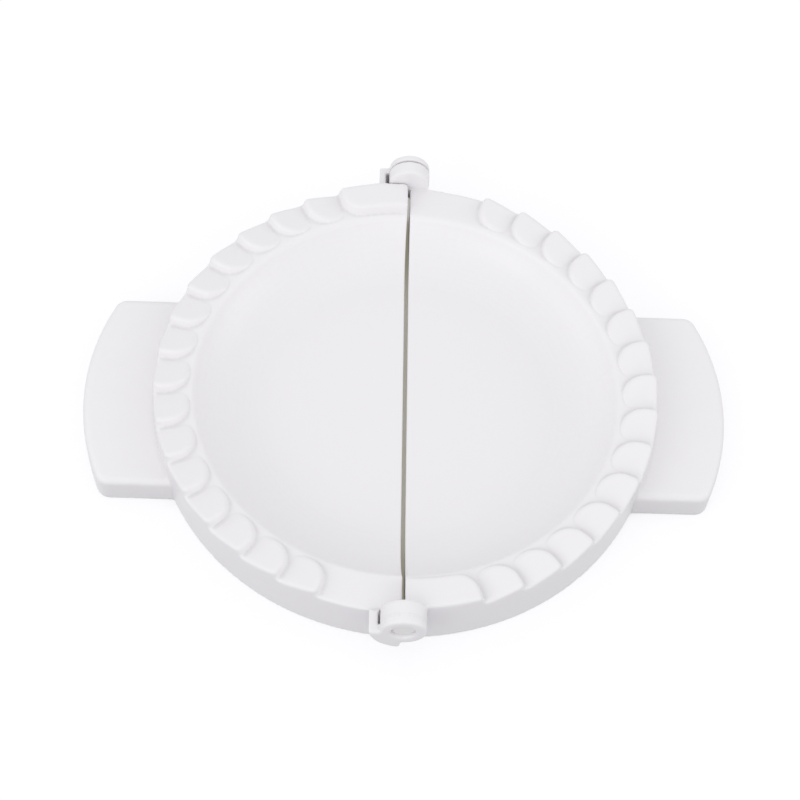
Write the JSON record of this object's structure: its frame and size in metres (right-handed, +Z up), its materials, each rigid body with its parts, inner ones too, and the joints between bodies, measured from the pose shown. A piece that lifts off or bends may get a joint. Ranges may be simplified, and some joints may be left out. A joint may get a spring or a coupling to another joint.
{
  "type": "empanada press",
  "caption": "Round press for filled dough pockets, lying open: hinged half moulds, each with a dish, a crimping rim of overlapping scales and a handle.",
  "frame": {"origin": "centre of the round disc, on the table that the open press lies on", "axes": "+X from the left handle to the right handle, +Y along the hinge axis away from the user, +Z up"},
  "size_m": [0.193, 0.164, 0.024],
  "materials": {
    "mould_plastic": "semi-gloss moulded white plastic",
    "pin_plastic": "semi-gloss moulded white plastic"
  },
  "bodies": {
    "left_mould": {"left_half": "mould_plastic", "front_hinge_pin": "pin_plastic", "rear_hinge_pin": "pin_plastic"},
    "right_mould": {"right_half": "mould_plastic"}
  },
  "joints": [
    {"name": "closing_hinge", "type": "hinge", "parent": "left_mould", "child": "right_mould", "pos_m": [0, 0, 0.0176], "axis": [0, -1, 0], "range_deg": [0, 180]}
  ]
}
